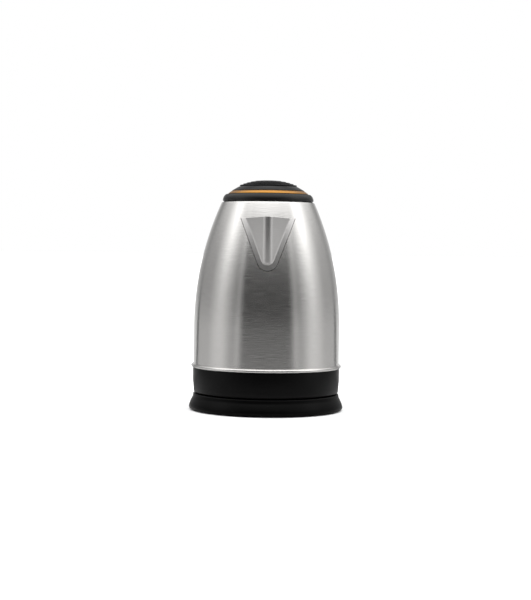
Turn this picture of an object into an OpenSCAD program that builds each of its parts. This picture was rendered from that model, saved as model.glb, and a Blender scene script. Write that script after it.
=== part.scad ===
// Cordless electric kettle: a stainless steel jug with a hinged lid and a rear handle, on a round power base.
// Millimetres. +Z is up, the spout points along -Y, and the origin is the centre of the foot ring, on the table.

/* [Jug] */
// Outer diameter of the straight lower part of the steel jug
body_d = 149.4; // [146:0.2:151]
// Height at which the straight wall starts to curve inwards
curve_start_z = 85; // [82:1:88]
// Radius of the curve that the upper wall follows
curve_r = 311; // [305:1:316]
// Height of the jug's top rim
jug_top_z = 212.8; // [212.4:0.1:213.2]
// Thickness of the steel wall
steel_t = 0.8; // [0.6:0.1:0.9]
// Radius of the jug's mouth
mouth_r = 42; // [41.5:0.1:42.3]

/* [Spout] */
// Height of the pouring lip
lip_z = 195.6; // [194:0.2:196.4]
// How far the beak would reach from the axis if its front edge were sharp
beak_reach = 81; // [80:0.5:82]
// Depth of the beak for each millimetre of half width
beak_slope = 1.4; // [1.3:0.05:1.5]
// Radius of the beak's rounded front edge
beak_edge_r = 6; // [4:0.5:7]
// Diameter of a strainer hole
strainer_d = 4; // [3:0.5:4.5]

/* [Lid and collar] */
// Outer diameter of the collar
collar_d = 93; // [92.4:0.2:93.6]
// Inner diameter of the collar
collar_bore_d = 73; // [72.6:0.2:73.2]
// Top of the lid above the table
lid_top_z = 235; // [234.6:0.1:235.6]

/* [Power base] */
// Largest diameter of the power base
base_d = 158; // [156.6:0.2:159]
// Height of the seat that the jug stands on
seat_z = 17.5; // [17.4:0.1:17.6]
// Diameter of the cord hole in the gland
cord_hole_d = 7.2; // [6.6:0.1:7.6]

/* [Handle] */
// Width of the handle
handle_w = 28; // [26:0.5:29]
// Wall of the handle's two shells
handle_wall = 2.4; // [2:0.1:2.8]

/* [Hidden] */

$fn = 96;
FINE_FN = 256;
EPS = 0.01;
BIG = 400;

BLACK = [0.05, 0.05, 0.055];
RUBBER = [0.12, 0.12, 0.12];
STEEL = [0.72, 0.72, 0.71];
BRASS = [0.80, 0.64, 0.30];
AMBER = [0.88, 0.55, 0.16];
IVORY = [0.86, 0.84, 0.78];

// Jug
body_r = body_d / 2;
bead_r = 2.2;
bead_z = 45.7;
wall_low_z = bead_z - bead_r;
floor_z = 46;
shoulder = 1.6;

// Power base
base_r = base_d / 2;
foot_h = 1.2;
foot_r = [58, 65];
rim_z = 16.8;
seat_r = [62, 70];
tray_z = 14.5;
tray_t = 2;
socket_r = 18;
socket_top_z = 25;
socket_flange_r = 24;
slot_1 = [6.6, 9.4];
slot_2 = [12, 14.8];
pin_hole_r = 3.3;
screw_circle_r = 52;
gland_z = 9.5;
gland_r = 5;
gland_y = [70, 81.5];

// Jug underside
housing_low_z = 18;
housing_r = [74.2, 75.2];
housing_t = 2.3;
ledge_z = 20.2;
stud_circle_r = 64;
recess_r = 21.5;
connector_r = 19.5;
connector_z = [27, 31];
spreader_t = 3.2;
element_ring_r = 40;
element_tube_r = 3.3;

// Collar and lid
collar_r = collar_d / 2;
bore_r = collar_bore_d / 2;
collar_z = [jug_top_z + 0.5, 220.6];
skirt_low_z = 203;
skirt_r = 39.3;
lid_gap = 0.3;
flange_z = collar_z[1] + lid_gap;
flange_r = 39;
plug_r = 34;
plug_low_z = 206;
seal_r = 35.8;
hinge_y = 49;
hinge_z = 218.2;
hinge_pin_r = 1.5;
hinge_pin_half = 13;
knuckle_r = 3.1;
notch_half = 9;
notch_y = 55.5;
notch_z = 213.9;
block_half = handle_w / 2;
block_y = 60;
block_low_z = 199;

// Button and latch
button_travel = 3;
button_y = [64, 84];
button_z = [216.6, 222.6];
button_half = 7.4;
button_wall = 1.2;
latch_y = [53.6, 84.5];
latch_z = [213.4, 215.9];
latch_half = 5.8;
window_half = 4;
stem_y = [79, 83.7];
stem_z = 214.5;
ramp_y = 80.2;
carrier_z = [209.4, 211.2];
spring_y = 71.5;

// Switch lever
lever_y = 66;
lever_z = 26.5;
lever_t = 3;
lever_half = 8;
lever_tip_y = 99;
lever_pin_r = 1.5;

// Steam path
steam_z = 205;
steam_hole_r = 5;
steam_tube_r = 3.4;
steam_outlet_z = 39;

// Handle: centre line in the Y-Z plane as joined Bezier curves, each [start, pull, pull, end]
handle_curves = [
    [[60.1, 210], [88, 210], [109, 209], [111, 171]],
    [[111, 171], [112.5, 142.5], [108, 115], [101.5, 90]],
    [[101.5, 90], [96.8, 72], [86.4, 62], [86.4, 30]]
];
handle_steps = 11;
// Half thickness of the handle at the start and end of each curve
handle_half = [11, 10, 10.5, 8.6];
section_steps = 9;
section_power = 3.2;
seam = 0.3;
// Screws that hold the handle at the jug's foot and under the arm
lower_screw = [6, 72.6, 34.5];
upper_screw = [6.4, 70, 200.9];
tab_z = [203.2, 204.4];
// Screws that hold the bracket on the collar
bracket_screw = [7, 61.4, 207];
// Place of the pilot lens, counted in curves from the top of the handle
lens_at = 2.7;
lens_r = 3;

// ---------------------------------------------------------------- helpers

function bezier(c, t) =
    c[0] * pow(1 - t, 3) + c[1] * 3 * t * pow(1 - t, 2) + c[2] * 3 * t * t * (1 - t) + c[3] * pow(t, 3);
function slope(c, t) =
    (c[1] - c[0]) * 3 * pow(1 - t, 2) + (c[2] - c[1]) * 6 * t * (1 - t) + (c[3] - c[2]) * 3 * t * t;
function unit(v) = v / norm(v);
function ease(t) = t * t * (3 - 2 * t);

// Point, direction, outward normal and half thickness of the handle, s curves from its upper end
function curve_of(s) = min(floor(s), len(handle_curves) - 1);
function handle_point(s) = bezier(handle_curves[curve_of(s)], s - curve_of(s));
function handle_dir(s) = unit(slope(handle_curves[curve_of(s)], s - curve_of(s)));
function handle_out(s) = [-handle_dir(s)[1], handle_dir(s)[0]];
function handle_h(s) =
    let (k = curve_of(s))
    handle_half[k] + (handle_half[k + 1] - handle_half[k]) * ease(s - k);

// Faces of a skin over rings of n points each, listed one ring after the other
function ring_faces(rings, n) = concat(
    [for (i = [0:rings - 2], j = [0:n - 1]) [i * n + j, (i + 1) * n + j, i * n + (j + 1) % n]],
    [for (i = [0:rings - 2], j = [0:n - 1])
        [(i + 1) * n + j, (i + 1) * n + (j + 1) % n, i * n + (j + 1) % n]]
);

module tube(r_out, r_in, z0, z1) {
    translate([0, 0, z0])
        difference() {
            cylinder(r = r_out, h = z1 - z0);
            translate([0, 0, -1]) cylinder(r = r_in, h = z1 - z0 + 2);
        }
}

module disc(r, z0, z1) {
    translate([0, 0, z0]) cylinder(r = r, h = z1 - z0);
}

module box(x, y, z) {
    translate([x[0], y[0], z[0]]) cube([x[1] - x[0], y[1] - y[0], z[1] - z[0]]);
}

module lathe(points) {
    rotate_extrude() polygon(points);
}

// Cylinder along X
module rod_x(r, x0, x1, y, z) {
    translate([x0, y, z]) rotate([0, 90, 0]) cylinder(r = r, h = x1 - x0);
}

// Cylinder along Y
module rod_y(r, x, y0, y1, z) {
    translate([x, y0, z]) rotate([-90, 0, 0]) cylinder(r = r, h = y1 - y0);
}

module around(count, radius, start = 0) {
    for (i = [0:count - 1])
        rotate([0, 0, start + i * 360 / count]) translate([radius, 0, 0]) children();
}

// The children and their mirror image on the other side of the Y-Z plane
module both_sides() {
    children();
    mirror([1, 0, 0]) children();
}

// Outline in the Y-Z plane, extruded to both sides of x = 0
module slab_x(half, points) {
    translate([-half, 0, 0]) rotate([90, 0, 90]) linear_extrude(2 * half) polygon(points);
}

// Pan-head screw standing on its head: head below z = 0, shank above, cross slot in the head
module screw(shank_r, length, head_r = 2.8, head_h = 1.8) {
    slot = [head_r * 1.3, 0.8, 1];
    difference() {
        union() {
            translate([0, 0, -head_h]) cylinder(r = head_r, h = head_h, $fn = 32);
            translate([0, 0, -EPS]) cylinder(r = shank_r, h = length, $fn = 32);
        }
        for (a = [0, 90])
            rotate([0, 0, a]) translate([0, 0, -head_h]) cube(slot, center = true);
    }
}

module rounded_rect(w, h, r) {
    square([w - 2 * r, h], center = true);
    square([w, h - 2 * r], center = true);
    for (x = [-1, 1], y = [-1, 1])
        translate([x * (w / 2 - r), y * (h / 2 - r)]) circle(r = r);
}

// Coil spring of round wire along +Z, as one swept tube
module coil(mean_r, wire_r, turns, length, steps = 14, sides = 6) {
    rings = turns * steps + 1;
    last = (rings - 1) * sides;
    points = [
        for (i = [0:rings - 1], j = [0:sides - 1])
            let (a = 360 * i / steps, b = 360 * j / sides, r = mean_r + wire_r * cos(b))
            [r * cos(a), r * sin(a), length * i / (rings - 1) - wire_r * sin(b)]
    ];
    start = [for (j = [1:sides - 2]) [0, j, j + 1]];
    end = [for (j = [1:sides - 2]) [last, last + j + 1, last + j]];
    polyhedron(points, concat(ring_faces(rings, sides), start, end));
}

// ---------------------------------------------------------------- jug

// Outer radius of the jug at height z, made smaller by inset
function jug_r(z, inset = 0) =
    z < curve_start_z ? body_r - inset
    : body_r - curve_r + sqrt(pow(curve_r - inset, 2) - pow(z - curve_start_z, 2));

// Half section of the jug's solid envelope between two heights
module jug_section(inset, z0, z1) {
    square_r = body_r - inset;
    translate([0, z0]) square([square_r, curve_start_z - z0 + EPS]);
    intersection() {
        translate([body_r - curve_r, curve_start_z]) circle(r = curve_r - inset, $fn = FINE_FN);
        translate([0, curve_start_z]) square([square_r, z1 - curve_start_z]);
    }
}

module jug_envelope(clearance = 0) {
    rotate_extrude() jug_section(-clearance, wall_low_z, jug_top_z + clearance);
}

module strainer_holes() {
    rows = 5;
    pitch = 6.5;
    for (row = [1:rows], k = [0:row - 1])
        rod_y(strainer_d / 2, (k - (row - 1) / 2) * pitch, -body_r, -body_r + 40,
            lip_z - 4 - (rows - row) * pitch);
}

module steel_jug() {
    corner_r = jug_r(jug_top_z);
    color(STEEL)
        difference() {
            rotate_extrude()
                difference() {
                    union() {
                        jug_section(0, wall_low_z, jug_top_z);
                        translate([body_r + 0.2, bead_z]) circle(r = bead_r, $fn = 48);
                    }
                    jug_section(steel_t, wall_low_z - 1, jug_top_z - steel_t);
                    square([mouth_r, jug_top_z + 1]);
                    polygon([
                        [corner_r + 3, jug_top_z - shoulder - 1.4],
                        [corner_r - shoulder * 0.6, jug_top_z + EPS],
                        [corner_r + 3, jug_top_z + 2]
                    ]);
                }
            strainer_holes();
            rod_y(steam_hole_r, 0, 40, 60, steam_z);
        }
}

module jug_floor() {
    color(STEEL) {
        disc(body_r - steel_t - 0.1, floor_z, floor_z + 0.8);
        around(3, stud_circle_r, 30)
            difference() {
                disc(2.6, 24, floor_z + 0.4);
                disc(1.45, 23, 39);
            }
    }
}

// ---------------------------------------------------------------- spout

// Lean of both outlines' straight sides, and the circle that rounds each of their tips
v_lean = 20.7;
tip_r = 7.2;
tip_z = 156.9;
flange_tip_r = 10.5;
flange_tip_z = 154.2;
spout_low_z = flange_tip_z - flange_tip_r;
tip_rise = 2;
beak_bow = 0.003;
flange_t = 0.5;
weld_depth = 0.2;
beak_t = 0.9;
half_angle = atan(1 / beak_slope);
edge_half = beak_edge_r * cos(half_angle);
edge_centre = beak_reach - beak_edge_r / sin(half_angle);

function smooth_max(a, b, k) = max(a, b) + pow(max(k - abs(a - b), 0), 2) / (4 * k);
function smooth_min(a, b, k) = -smooth_max(-a, -b, k);
// Distance of the jug's surface from the X-Z plane
function jug_face(x, z) = sqrt(pow(jug_r(z), 2) - x * x);
// The beak's two flanks, joined by a round front edge that leans in towards the tip
function beak_face(x, z) = (abs(x) < edge_half
    ? edge_centre + sqrt(pow(beak_edge_r, 2) - x * x)
    : beak_reach - beak_slope * abs(x)) - beak_bow * pow(lip_z - z, 2);
// How far a point of the front view lies inside the beak's outline, a V with a round tip
function tip_depth(x, z) = abs(x) * sin(v_lean) + (z - tip_z) * cos(v_lean) < 0
    ? tip_r - norm([x, tip_z - z])
    : tip_r - abs(x) * cos(v_lean) + (z - tip_z) * sin(v_lean);
function spout_face(x, z) = smooth_max(
    smooth_min(beak_face(x, z), jug_face(x, z) + tip_rise * (tip_depth(x, z) + 0.5), 2.4),
    jug_face(x, z) + flange_t, 1.6);
function spout_back(x, z) =
    let (d = 0.2, s = (spout_face(x + d, z) - spout_face(x - d, z)) / (2 * d))
    max(spout_face(x, z) - beak_t * norm([1, s]), jug_face(x, z) - weld_depth);
// Half width of the flange welded to the jug
function flange_half(z) = z < flange_tip_z - flange_tip_r * sin(v_lean)
    ? sqrt(max(pow(flange_tip_r, 2) - pow(flange_tip_z - z, 2), 4))
    : flange_tip_r / cos(v_lean) + tan(v_lean) * (z - flange_tip_z);
function lip_height(x) = lip_z + 1.1 * (1 - min(abs(x) / 22, 1));

module spout() {
    rows = 22;
    half = 14;
    cols = 2 * half + 1;
    // One closed ring for each row: along the face, then back along the rear surface
    points = [
        for (i = [0:rows - 1])
            let (level = pow(i / (rows - 1), 1.15), z = spout_low_z + (lip_z - spout_low_z) * level)
            each concat(
                [for (j = [-half:half])
                    let (x = flange_half(z) * j / half,
                        zz = spout_low_z + (lip_height(x) - spout_low_z) * level)
                    [x, -spout_face(x, zz), zz]],
                [for (j = [half:-1:-half])
                    let (x = flange_half(z) * j / half,
                        zz = spout_low_z + (lip_height(x) - spout_low_z) * level)
                    [x, -spout_back(x, zz), zz]])
    ];
    n = 2 * cols;
    last = (rows - 1) * n;
    ends = [
        for (j = [0:cols - 2]) each [
            [j, j + 1, n - 1 - j],
            [j + 1, n - 2 - j, n - 1 - j],
            [last + j, last + n - 1 - j, last + j + 1],
            [last + j + 1, last + n - 1 - j, last + n - 2 - j]
        ]
    ];
    color(STEEL) polyhedron(points, concat(ring_faces(rows, n), ends));
}

// ---------------------------------------------------------------- power base

function base_outline() = [
    [77.6, foot_h], [78.6, foot_h + 0.5], [base_r, foot_h + 1.6], [base_r, 4.2], [78.4, 6.2],
    [77.8, 8], [76.7, 10.3], [75.8, 12.3], [75.2, 13.3], [75, 14.6], [74.9, 16.1], [74.3, rim_z],
    [seat_r[1] + 0.4, rim_z], [seat_r[1], seat_z], [seat_r[0], seat_z], [seat_r[0] - 1.4, tray_z],
    [socket_r + 5, tray_z], [socket_r + 4, tray_z + 1.2], [socket_r + 0.4, tray_z + 1.2]
];

module base_cover() {
    wall = 2;
    inner = [
        [socket_r + 0.4, tray_z - tray_t], [seat_r[0] - 1.4 - wall, tray_z - tray_t],
        [seat_r[0] - 1, seat_z - wall - 0.6], [73, seat_z - wall - 0.6],
        [73.2, 12.6], [75.2, 9], [76.4, 6], [77, 3.6], [77, foot_h]
    ];
    boss_top = tray_z - tray_t + EPS;
    color(BLACK)
        difference() {
            union() {
                lathe(concat(base_outline(), inner));
                around(3, screw_circle_r, 30) disc(4, foot_h + 2.2, boss_top);
            }
            around(3, screw_circle_r, 30) disc(1.45, 0, boss_top - 1);
            rod_y(gland_r + 0.05, 0, 70, 90, gland_z);
        }
}

module base_bottom() {
    plate_t = 2;
    color(BLACK)
        difference() {
            union() {
                disc(76.8, foot_h, foot_h + plate_t);
                tube(21.5, 19.5, foot_h + plate_t - EPS, tray_z - tray_t - 2.1);
            }
            around(3, screw_circle_r, 30) {
                disc(1.6, 0, 10);
                disc(3, 0, foot_h + 0.9);
            }
            tube(foot_r[1] + 0.05, foot_r[0] - 0.05, 0, foot_h + 0.6);
        }
}

module base_socket() {
    flange_top = tray_z - tray_t - 0.05;
    color(BLACK)
        difference() {
            union() {
                disc(socket_r, 5, socket_top_z);
                disc(socket_flange_r, flange_top - 2, flange_top);
            }
            disc(pin_hole_r, 9, BIG);
            tube(slot_1[1], slot_1[0], 10, BIG);
            tube(slot_2[1], slot_2[0], 12, BIG);
        }
}

module earth_contact() {
    color(BRASS) tube(pin_hole_r - 0.1, 2.55, 9, 16);
}

module live_contact() {
    color(BRASS) tube(slot_1[1] - 0.05, 8.95, 10, 18);
}

module neutral_contact() {
    color(BRASS) tube(slot_2[1] - 0.05, 14.35, 12, 19);
}

module foot_ring() {
    color(RUBBER) tube(foot_r[1], foot_r[0], 0, foot_h + 0.6);
}

module base_screws() {
    color(STEEL) around(3, screw_circle_r, 30) translate([0, 0, foot_h + 0.9]) screw(1.4, 7.5, 2.8, 0.9);
}

module cord_gland() {
    color(RUBBER)
        difference() {
            union() {
                rod_y(gland_r, 0, gland_y[0], gland_y[1], gland_z);
                rod_y(gland_r + 0.2, 0, gland_y[0], 72, gland_z);
                rod_y(gland_r + 1, 0, 79.6, gland_y[1], gland_z);
            }
            rod_y(cord_hole_d / 2, 0, gland_y[0] - 1, gland_y[1] + 1, gland_z);
        }
}

// ---------------------------------------------------------------- connector under the jug

module connector_body() {
    color(IVORY) {
        tube(connector_r, 2.42, connector_z[0], connector_z[1]);
        tube(8.5, 7.1, 13, connector_z[0] + EPS);
        tube(13.9, 12.5, 14.5, connector_z[0] + EPS);
    }
}

module connector_pin() {
    color(BRASS)
        union() {
            disc(2.4, 12, connector_z[1]);
            translate([0, 0, 11]) cylinder(r1 = 1.4, r2 = 2.4, h = 1 + EPS);
        }
}

module live_ring() {
    color(BRASS) tube(8.78, 8.52, 14, 22);
}

module neutral_ring() {
    color(BRASS) tube(14.18, 13.92, 15.5, 22);
}

// ---------------------------------------------------------------- jug underside

module lower_housing() {
    top_z = wall_low_z - 0.2;
    in_r = housing_r[1] - housing_t;
    color(BLACK)
        difference() {
            union() {
                lathe([
                    [housing_r[0] - 1, housing_low_z], [housing_r[0], housing_low_z + 1],
                    [74.6, 24], [housing_r[1], 30], [housing_r[1], top_z], [in_r, top_z],
                    [in_r, ledge_z + 2], [60, ledge_z + 2], [60, ledge_z], [72.2, ledge_z],
                    [72.2, housing_low_z]
                ]);
                box([-11, 11], [lower_screw[1], 77.6], [30.6, top_z]);
                both_sides() box([9, 12.6], [62.6, 72], [ledge_z + 1, lever_z + 3.4]);
            }
            around(3, stud_circle_r, 30) disc(1.7, 0, 30);
            both_sides() {
                rod_y(1.6, lower_screw[0], 60, 90, lower_screw[2]);
                rod_y(2.8, lower_screw[0], 60, lower_screw[1], lower_screw[2]);
            }
            rod_y(steam_tube_r + 0.2, 0, 60, 90, steam_outlet_z);
            rod_x(lever_pin_r + 0.02, -20, 20, lever_y, lever_z);
            box([-lever_half - 0.6, lever_half + 0.6], [60, 90], [21, 29.6]);
        }
}

module underside_cover() {
    color(BLACK)
        difference() {
            union() {
                disc(71.9, housing_low_z, ledge_z - 0.1);
                tube(68.5, 63, seat_z, housing_low_z + EPS);
                tube(recess_r + 2, recess_r, ledge_z - 0.2, connector_z[1] - 0.4);
            }
            disc(recess_r, 0, BIG);
            around(3, stud_circle_r, 30) {
                disc(1.7, 0, BIG);
                disc(3.1, 0, housing_low_z + 1.2);
            }
        }
}

module housing_screws() {
    color(STEEL)
        around(3, stud_circle_r, 30)
            translate([0, 0, housing_low_z + 1.2]) screw(1.4, 12, 2.8, 1.5);
}

module heat_spreader() {
    color([0.8, 0.8, 0.8]) disc(50, floor_z - spreader_t, floor_z);
}

module heating_element() {
    centre_z = floor_z - spreader_t - element_tube_r + 0.3;
    sweep = 300;
    gap = (360 - sweep) / 2;
    color([0.45, 0.45, 0.46])
        intersection() {
            union() {
                rotate([0, 0, -90 + gap])
                    rotate_extrude(angle = sweep)
                        translate([element_ring_r, centre_z]) circle(r = element_tube_r, $fn = 32);
                for (a = [-90 + gap + 2, -90 - gap - 2])
                    rotate([0, 0, a]) translate([element_ring_r, 0, 0]) disc(1.8, 30, centre_z);
            }
            disc(BIG, 0, floor_z - spreader_t);
        }
}

module controller() {
    low = 31.8;
    color(BLACK)
        difference() {
            union() {
                box([-25, 25], [-16, 20], [low, 39]);
                box([-18, 18], [-12, 16], [39 - EPS, 40.6]);
                box([-8, 8], [20 - EPS, 57], [low, 35]);
                box([-8, 8], [53, 57], [35 - EPS, 44]);
            }
            disc(2.9, 0, 33);
            both_sides() translate([14, 0, 0]) disc(6.2, 39.6, 50);
            rod_y(6, 0, 56.2, 60, steam_outlet_z);
        }
}

module steam_switch() {
    color(BRASS) rod_y(5.8, 0, 56.2, 57.6, steam_outlet_z);
}

module dry_boil_cutouts() {
    color(STEEL) both_sides() translate([14, 0, 0]) disc(6, 39.6, floor_z - spreader_t);
}

module lever_shaft() {
    color(STEEL) rod_x(lever_pin_r, -13, 13, lever_y, lever_z);
}

// ---------------------------------------------------------------- collar

module collar_section() {
    crown = 7.5;
    crown_z = 214.4;
    intersection() {
        translate([collar_r - crown, crown_z]) circle(r = crown, $fn = FINE_FN);
        translate([bore_r, crown_z - EPS]) square([20, collar_z[1] - crown_z + EPS]);
    }
    translate([bore_r, collar_z[0]]) square([collar_r - 1.3 - bore_r, crown_z - collar_z[0]]);
    translate([collar_r - 1.3, collar_z[0] + 1.3]) circle(r = 1.3, $fn = 48);
    translate([bore_r, crown_z - EPS]) square([2, collar_z[1] - crown_z + EPS]);
    translate([bore_r, skirt_low_z]) square([skirt_r - bore_r, crown_z - skirt_low_z]);
}

module collar_block() {
    difference() {
        translate([0, block_y, (block_low_z + collar_z[1]) / 2])
            rotate([90, 0, 0])
                linear_extrude(22) rounded_rect(2 * block_half, collar_z[1] - block_low_z, 7);
        jug_envelope(0.5);
    }
}

// Six snap hooks that hold the collar under the jug's rim
module collar_hooks() {
    top_z = jug_top_z - steel_t - 0.2;
    intersection() {
        tube(mouth_r + 1.4, skirt_r - 0.5, top_z - 3, top_z);
        for (a = [30, 90, 150]) rotate([0, 0, a]) box([-60, 60], [-5, 5], [200, 214]);
    }
}

module collar() {
    slot_z = [latch_z[0] - 0.3, latch_z[1] + 0.3];
    color(BLACK)
        difference() {
            union() {
                rotate_extrude() collar_section();
                collar_hooks();
                collar_block();
            }
            disc(bore_r, 0, BIG);
            box([-notch_half, notch_half], [30, notch_y], [notch_z, BIG]);
            box([-latch_half - 0.3, latch_half + 0.3], [notch_y - 3, block_y + 1], slot_z);
            rod_x(hinge_pin_r + 0.02, -hinge_pin_half - 0.3, hinge_pin_half + 0.3, hinge_y, hinge_z);
            rod_y(steam_hole_r + 0.2, 0, 45, block_y + 1, steam_z);
            both_sides() rod_y(1.45, bracket_screw[0], 52, block_y + 1, bracket_screw[2]);
        }
}

module collar_seal() {
    color(RUBBER) tube(45.2, 42.4, jug_top_z, collar_z[0]);
}

module hinge_pin() {
    color(STEEL) rod_x(hinge_pin_r, -hinge_pin_half, hinge_pin_half, hinge_y, hinge_z);
}

module lid_spring() {
    turns = 4;
    color(STEEL)
        translate([-2.2, hinge_y, hinge_z]) rotate([0, 90, 0]) coil(2.4, 0.4, turns, 4.4);
}

module steam_grommet() {
    color(RUBBER)
        difference() {
            union() {
                rod_y(steam_hole_r - 0.1, 0, 45.4, 56, steam_z);
                rod_y(steam_hole_r + 0.8, 0, 45.4, 46.6, steam_z);
            }
            rod_y(steam_tube_r + 0.1, 0, 40, 60, steam_z);
        }
}

// ---------------------------------------------------------------- lid

module lid_base() {
    arm_z = [hinge_z + 0.8, flange_z + 1];
    color(BLACK)
        difference() {
            union() {
                lathe([
                    [plug_r - 2.2, plug_low_z], [plug_r, plug_low_z], [plug_r, plug_low_z + 2.4],
                    [plug_r - 0.8, plug_low_z + 2.4], [plug_r - 0.8, plug_low_z + 5.4],
                    [plug_r, plug_low_z + 5.4], [plug_r, flange_z], [flange_r, flange_z],
                    [flange_r, flange_z + 1], [plug_r - 2.2, flange_z + 1]
                ]);
                around(3, 27, 30) disc(3, plug_low_z, flange_z + 1);
                around(3, 27, 30) box([0, 6], [-1, 1], [plug_low_z, flange_z + 1]);
                box([-8.4, 8.4], [33, hinge_y], arm_z);
                both_sides() {
                    rod_x(knuckle_r, 3.4, 8.4, hinge_y, hinge_z);
                    box([3.4, 8.4], [hinge_y, hinge_y + 4.1], [hinge_z - 0.6, hinge_z + 1]);
                }
            }
            around(3, 27, 30) disc(1.5, 0, BIG);
            rod_x(hinge_pin_r + 0.07, -20, 20, hinge_y, hinge_z);
            box([-3.4, 3.4], [hinge_y - 3.6, 60], [200, 230]);
        }
}

// Dome of the lid: a slope, then low terraces with a groove behind each
function cap_outline() = [
    [34.6, flange_z + 1], [34.6, 225.1], [35.4, 225.2], [34.2, 226.3], [32.2, 227.4], [30.3, 228.5],
    [29.2, 229.5], [28.4, 230], [27.4, 230.2], [26.8, 229.7], [26.3, 230.5], [25.4, 231.3],
    [24.2, 231.6], [23.3, 231.1], [22.7, 231.8], [21.7, 232.6], [20.1, 232.9], [19.2, 232.4],
    [18.6, 233], [17.6, 233.7], [15.2, 234.1], [14.1, 233.6], [13.3, 234.2], [12.2, 234.6],
    [8, 234.9], [0, lid_top_z]
];

module lid_cap() {
    color(BLACK)
        difference() {
            union() {
                lathe(concat(cap_outline(), [
                    [0, 232.4], [10, 232], [17, 230.6], [25, 226.9], [32.4, 223.4], [32.4, flange_z + 1]
                ]));
                around(3, 27, 30) disc(2.8, flange_z + 1, 226);
            }
            around(3, 27, 30) disc(1.2, 0, 225.6);
        }
}

module lid_band() {
    color(AMBER)
        difference() {
            lathe([
                [flange_r + 0.1, flange_z], [40.8, flange_z], [41.1, flange_z + 0.4], [35.5, 224.9],
                [34.8, 224.8], [34.7, 223.6], [flange_r + 0.1, flange_z + 1.1]
            ]);
            box([-8.6, 8.6], [30, 60], [200, flange_z + 1.05]);
        }
}

module lid_plate() {
    color(STEEL)
        difference() {
            disc(plug_r + 0.2, plug_low_z - 0.8, plug_low_z);
            around(3, 27, 30) disc(1.6, 0, BIG);
        }
}

module lid_seal() {
    color(RUBBER)
        lathe([
            [plug_r - 0.75, plug_low_z + 2.5], [plug_r, plug_low_z + 2.5], [seal_r, plug_low_z + 3.4],
            [seal_r, plug_low_z + 4.2], [plug_r, plug_low_z + 5.3], [plug_r - 0.75, plug_low_z + 5.3]
        ]);
}

module lid_screws() {
    color(STEEL)
        around(3, 27, 30) translate([0, 0, plug_low_z - 0.8]) screw(1.15, 19, 2.6, 1.3);
}

// ---------------------------------------------------------------- button and latch

module lid_button() {
    roof_z = button_z[1] - button_wall;
    skirt_clear = latch_z[1] + button_travel + 0.3;
    ramp_h = stem_y[1] - ramp_y;
    color(BLACK) {
        difference() {
            translate([0, (button_y[0] + button_y[1]) / 2, button_z[0]])
                linear_extrude(button_z[1] - button_z[0])
                    rounded_rect(2 * button_half, button_y[1] - button_y[0], 3);
            box([-button_half + button_wall, button_half - button_wall],
                [button_y[0] + button_wall, button_y[1] - button_wall], [210, roof_z]);
            box([-latch_half - 0.4, latch_half + 0.4], [60, 90], [210, skirt_clear]);
        }
        slab_x(1.8, [
            [stem_y[0], stem_z], [ramp_y, stem_z], [stem_y[1], stem_z + ramp_h],
            [stem_y[1], roof_z + 0.4], [stem_y[0], roof_z + 0.4]
        ]);
    }
}

module lid_latch() {
    // The ramp follows the stem's, 0.2 behind it
    foot_y = ramp_y + latch_z[0] - stem_z + 0.2;
    window_y = latch_y[0] + 8.5;
    color(IVORY) {
        box([-latch_half, latch_half], [latch_y[0], window_y], latch_z);
        both_sides() box([window_half, latch_half], [window_y - EPS, latch_y[1]], latch_z);
        slab_x(window_half + EPS, [
            [foot_y, latch_z[0]], [latch_y[1], latch_z[0]], [latch_y[1], latch_z[1]],
            [foot_y + latch_z[1] - latch_z[0], latch_z[1]]
        ]);
    }
}

module latch_carrier() {
    wall_top = 213.8;
    rail_top = latch_z[0] - 0.3;
    color(BLACK)
        difference() {
            union() {
                box([-9, 9], [61.6, 86], carrier_z);
                both_sides() {
                    box([7.7, 9], [61.6, 86], [carrier_z[0], wall_top]);
                    box([window_half + 0.2, latch_half - 0.2], [61.6, 84], [carrier_z[0], rail_top]);
                    translate([upper_screw[0], upper_screw[1], 0]) disc(2.4, tab_z[1], carrier_z[0] + EPS);
                }
            }
            translate([0, spring_y, 0]) disc(3.4, carrier_z[1] - 0.8, BIG);
            both_sides() translate([upper_screw[0], upper_screw[1], 0]) disc(1.45, 200, 209);
        }
}

module button_spring() {
    turns = 5;
    wire_r = 0.35;
    low = carrier_z[1] - 0.8 + wire_r + 0.05;
    high = button_z[1] - button_wall - wire_r - 0.05;
    color(STEEL) translate([0, spring_y, low]) coil(2.7, wire_r, turns, high - low);
}

// ---------------------------------------------------------------- handle

// Point of the handle's rounded section: from a = 0 to 180 it runs over one half
function section_point(a, w, h) = [
    w * sign(cos(a)) * pow(abs(cos(a)), 2 / section_power),
    h * pow(abs(sin(a)), 2 / section_power)
];

// One shell of the handle, closed at the foot: side is 1 for the outer one and -1 for the inner one
module handle_shell(side) {
    rings = len(handle_curves) * handle_steps + 1;
    half = 2 * section_steps + 1;
    n = 2 * half;
    points = [
        for (i = [0:rings - 1])
            let (
                s = i / handle_steps,
                p = handle_point(s),
                out = handle_out(s) * side,
                h = handle_h(s),
                w = handle_w / 2,
                cut = i == rings - 1 ? h - 0.6 : handle_wall
            )
            each concat(
                [for (j = [0:half - 1])
                    let (q = section_point(180 * j / (half - 1), w, h), v = max(q[1], seam / 2))
                    [-q[0] * side, p[0] + out[0] * v, p[1] + out[1] * v]],
                [for (j = [half - 1:-1:0])
                    let (q = section_point(180 * j / (half - 1), w - cut, h - cut), v = max(q[1], seam / 2))
                    [-q[0] * side, p[0] + out[0] * v, p[1] + out[1] * v]])
    ];
    last = (rings - 1) * n;
    ends = [
        for (j = [0:half - 2]) each [
            [j, j + 1, n - 1 - j],
            [j + 1, n - 2 - j, n - 1 - j],
            [last + j, last + n - 1 - j, last + j + 1],
            [last + j + 1, last + n - 1 - j, last + n - 2 - j]
        ]
    ];
    polyhedron(points, concat(ring_faces(rings, n), ends));
}

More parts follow.
